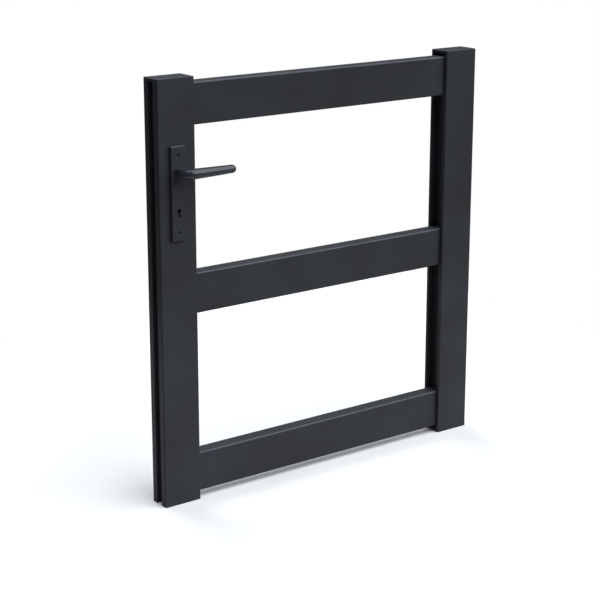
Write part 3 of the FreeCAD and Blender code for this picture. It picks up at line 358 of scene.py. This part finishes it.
def in_scene(name, data):
    """A new object for the data, in the scene."""
    thing = bpy.data.objects.new(name, data)
    bpy.context.scene.collection.objects.link(thing)
    return thing


def new_piece(name, mesh, slot):
    bmesh.ops.recalc_face_normals(mesh, faces=mesh.faces)
    data = bpy.data.meshes.new(name)
    mesh.to_mesh(data)
    mesh.free()
    data.materials.append(MATERIALS[slot])
    return in_scene(name, data)


def keyhole_outline(radius, slot_half, drop):
    """Closed outline of a round head with a slot below it, counter-clockwise about the head's centre."""
    corner = math.asin(slot_half / radius)
    points = []
    for index in range(KEYHOLE_STEPS + 1):
        angle = corner - math.pi / 2 + 2 * (math.pi - corner) * index / KEYHOLE_STEPS
        points.append((radius * math.cos(angle), radius * math.sin(angle)))
    points.append((-slot_half, -drop))
    points.append((slot_half, -drop))
    return points


def keyhole_liner(name, front):
    """A thin lipped liner round the edge of the keyhole in the front or the rear backplate."""
    plate = "front_backplate" if front else "rear_backplate"
    low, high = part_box(plate)
    spindle_low, spindle_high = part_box("spindle")
    centre_x = (spindle_low.x + spindle_high.x) / 2
    centre_z = (spindle_low.z + spindle_high.z) / 2 - SPINDLE_TO_KEY
    face = low.y if front else high.y
    away = -1 if front else 1
    bore = keyhole_outline(**LINER_BORE)
    rim = keyhole_outline(**LINER_RIM)
    mesh = bmesh.new()
    rows = []
    for outline, height in ((rim, 0), (rim, RIM_HEIGHT), (bore, CREST_HEIGHT), (bore, -LINER_DEPTH)):
        y = face + away * height
        rows.append([mesh.verts.new((centre_x + x, y, centre_z + z)) for x, z in outline])
    count = len(bore)
    for first, second in zip(rows, rows[1:] + rows[:1]):
        for index in range(count):
            following = (index + 1) % count
            mesh.faces.new((first[index], first[following], second[following], second[index]))
    piece = new_piece(name, mesh, "coated_plate")
    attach(piece, "leaf")
    edge = piece.modifiers.new("edge", "BEVEL")
    edge.width = LINER_EDGE
    edge.segments = 2
    edge.limit_method = "ANGLE"


def coil_line(length, radius, turns):
    """(angle, point) steps down the middle of the wire, with one end turn wound close at each end."""
    steps = []
    for step in range(turns * STEPS_PER_TURN + 1):
        turn = step / STEPS_PER_TURN
        if turn < 1:
            rise = turn * WIRE
        elif turn > turns - 1:
            rise = length - (turns - turn) * WIRE
        else:
            rise = WIRE + (length - 2 * WIRE) * (turn - 1) / (turns - 2)
        angle = 2 * math.pi * turn
        steps.append((angle, Vector((radius * math.cos(angle), radius * math.sin(angle), rise))))
    return steps


def coil_mesh(length, radius, turns, place):
    """Round wire wound along coil_line; place turns a point about the coil's axis into the row frame."""
    mesh = bmesh.new()
    rings = []
    for angle, middle in coil_line(length, radius, turns):
        outward = Vector((math.cos(angle), math.sin(angle), 0))
        up = Vector((0, 0, 1))
        ring = []
        for side in range(WIRE_SIDES):
            around = 2 * math.pi * side / WIRE_SIDES
            point = middle + (outward * math.cos(around) + up * math.sin(around)) * WIRE / 2
            ring.append(mesh.verts.new(place(point)))
        rings.append(ring)
    for first, second in zip(rings, rings[1:]):
        for side in range(WIRE_SIDES):
            following = (side + 1) % WIRE_SIDES
            wall = mesh.faces.new((first[side], first[following], second[following], second[side]))
            wall.smooth = True
    mesh.faces.new(rings[0])
    mesh.faces.new(rings[-1])
    return mesh


def lock_spring(joint, deforming):
    """Coil spring with close-wound ends, put in place of the spring node and carried by its joint's parent
    body.
    """
    node = deforming["node"]
    axis = deforming["mode"][-1]
    low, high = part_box(node)
    middle = (low + high) / 2
    radius = (high.y - low.y - WIRE) / 2
    along = Vector((1, 0, 0)) if axis == "x" else Vector((0, 0, 1))
    across = Vector((0, 0, -1)) if axis == "x" else Vector((1, 0, 0))
    length = (high - low).dot(along) - WIRE
    start = middle - along * length / 2
    turns = round(length / COIL_PITCH) + CLOSED_TURNS

    def place(point):
        return start + across * point.x + Vector((0, 1, 0)) * point.y + along * point.z

    piece = new_piece(node + "_coil", coil_mesh(length, radius, turns, place), "spring_steel")
    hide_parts(node)
    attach(piece, joint["parent"])
    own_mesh(piece)


def lock_springs():
    """A round-wire coil for each spring that the record says a joint presses together."""
    for joint in RECORD["behaviour"]["joints"]:
        for deforming in joint.get("deforming_nodes", []):
            lock_spring(joint, deforming)


# ---- Stage ------------------------------------------------------------------------------------


def make_floor():
    """Pale paper floor."""
    grey = (FLOOR_GREY, FLOOR_GREY, FLOOR_GREY)
    material, shader = new_material("floor_paper", grey, 0.9, specular=0.0)
    blotches = noise(material, object_coords(material), 3.0)
    tone = ramp(material, blotches, [(0.3, shade(grey, 0.977)), (0.7, shade(grey, 1.023))])
    material.node_tree.links.new(tone, shader.inputs["Base Color"])
    mesh = bpy.data.meshes.new("floor")
    half = FLOOR_HALF
    corners = [(-half, -half, 0), (half, -half, 0), (half, half, 0), (-half, half, 0)]
    mesh.from_pydata(corners, [], [(0, 1, 2, 3)])
    mesh.materials.append(material)
    floor = in_scene("floor", mesh)


def make_world():
    """Dim sky light; what the camera sees of it above the floor is the same white as the floor."""
    world = bpy.data.worlds.new("studio")
    world.use_nodes = True
    nodes, links = world.node_tree.nodes, world.node_tree.links
    sky = nodes["Background"]
    sky.inputs["Color"].default_value = (*SKY_TINT, 1)
    sky.inputs["Strength"].default_value = SKY_STRENGTH
    paper = nodes.new("ShaderNodeBackground")
    paper.inputs["Color"].default_value = (1.0, 1.0, 1.0, 1)
    seen = nodes.new("ShaderNodeLightPath")
    choice = nodes.new("ShaderNodeMixShader")
    links.new(seen.outputs["Is Camera Ray"], choice.inputs["Fac"])
    links.new(sky.outputs["Background"], choice.inputs[1])
    links.new(paper.outputs["Background"], choice.inputs[2])
    links.new(choice.outputs["Shader"], nodes["World Output"].inputs["Surface"])
    bpy.context.scene.world = world


def soft_sun(name, toward, degrees_wide, strength):
    """An even light from the given direction; the wider it is, the softer its shade."""
    data = bpy.data.lights.new(name, "SUN")
    data.angle = math.radians(degrees_wide)
    data.energy = strength
    data.color = LIGHT_TINT
    light = in_scene(name, data)
    light.rotation_mode = "QUATERNION"
    light.rotation_quaternion = (-Vector(toward)).to_track_quat("-Z", "Y")


def make_lights():
    """A wide key over the front, one over the back for the tops, and a small one for the lever's streak."""
    soft_sun("key", (0.42, -0.55, 0.72), degrees_wide=76, strength=7.2)
    soft_sun("rear", (0.05, 0.58, 0.81), degrees_wide=36, strength=2.8)
    soft_sun("spark", (-0.28, -0.08, 0.94), degrees_wide=6, strength=1.0)


def make_camera():
    """Long lens from the lock side, a little above the gate's top."""
    data = bpy.data.cameras.new("camera")
    data.lens = CAMERA_LENS_MM
    data.sensor_width = 36.0
    data.shift_x = 0.011
    data.shift_y = -0.05
    data.clip_start = 0.1
    data.clip_end = 60.0
    camera = in_scene("camera", data)
    camera.location = CAMERA_PLACE
    camera.rotation_euler = (math.radians(90 - CAMERA_DIP), 0, math.radians(-CAMERA_TURN))
    bpy.context.scene.camera = camera


dress_nodes()
keyhole_liner("front_keyhole_liner", True)
keyhole_liner("rear_keyhole_liner", False)
lock_springs()
make_floor()
make_world()
make_lights()
make_camera()
bpy.context.scene.view_settings.view_transform = "Standard"
